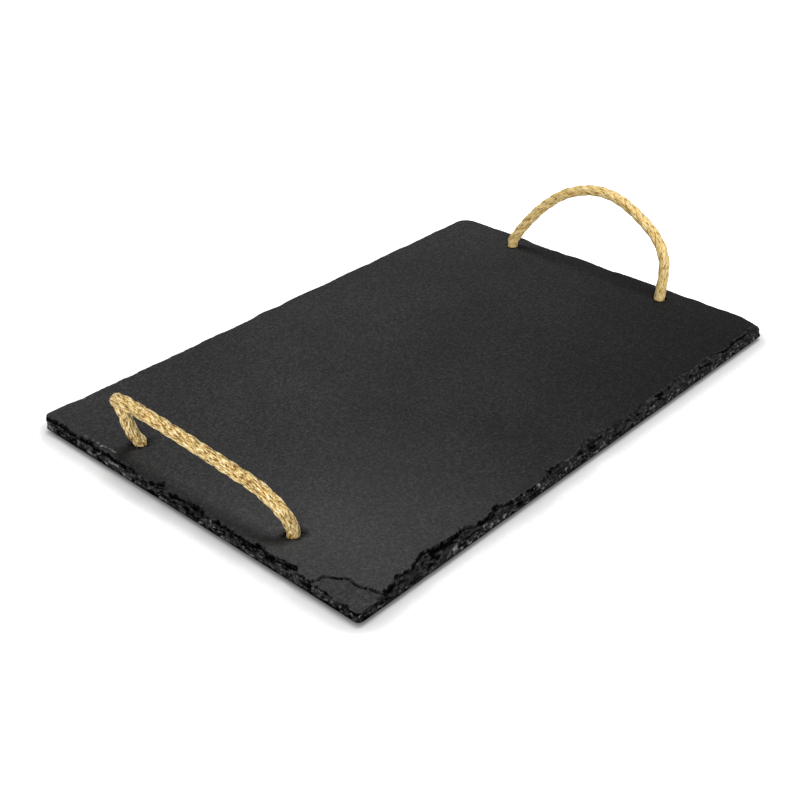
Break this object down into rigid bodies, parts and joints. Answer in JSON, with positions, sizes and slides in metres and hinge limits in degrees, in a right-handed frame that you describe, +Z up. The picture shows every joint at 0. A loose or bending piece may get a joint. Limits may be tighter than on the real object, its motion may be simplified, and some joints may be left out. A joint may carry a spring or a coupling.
{
  "type": "slate serving board",
  "caption": "Rectangular slate serving board with chipped edges, a folding rope loop handle through holes at each end, flat stopper knots below and low rubber pads.",
  "frame": {"origin": "on the surface that the board stands on, under the middle of the slab", "axes": "+X along the board's length from its front handle to its rear handle, +Y across to its left side, +Z up"},
  "size_m": [0.3, 0.2, 0.0565],
  "materials": {
    "slate": "natural cleft slate, matt, with freshly chipped edges",
    "sisal_rope": "three-strand natural fibre rope, undyed",
    "foot_rubber": "matt black rubber"
  },
  "bodies": {
    "board": {"slate_slab": "slate", "front_left_rope_leg": "sisal_rope", "front_left_knot": "sisal_rope", "front_left_foot": "foot_rubber", "front_right_rope_leg": "sisal_rope", "front_right_knot": "sisal_rope", "front_right_foot": "foot_rubber", "rear_left_rope_leg": "sisal_rope", "rear_left_knot": "sisal_rope", "rear_left_foot": "foot_rubber", "rear_right_rope_leg": "sisal_rope", "rear_right_knot": "sisal_rope", "rear_right_foot": "foot_rubber"},
    "front_handle": {"front_handle_loop": "sisal_rope"},
    "rear_handle": {"rear_handle_loop": "sisal_rope"}
  },
  "joints": [
    {"name": "front_handle_fold", "type": "hinge", "parent": "board", "child": "front_handle", "pos_m": [-0.1338, 0.0004, 0.01168], "axis": [0, 1, 0], "range_deg": [-62, 108]},
    {"name": "rear_handle_fold", "type": "hinge", "parent": "board", "child": "rear_handle", "pos_m": [0.1385, 0.005, 0.01168], "axis": [0, 1, 0], "range_deg": [-95, 75]}
  ]
}
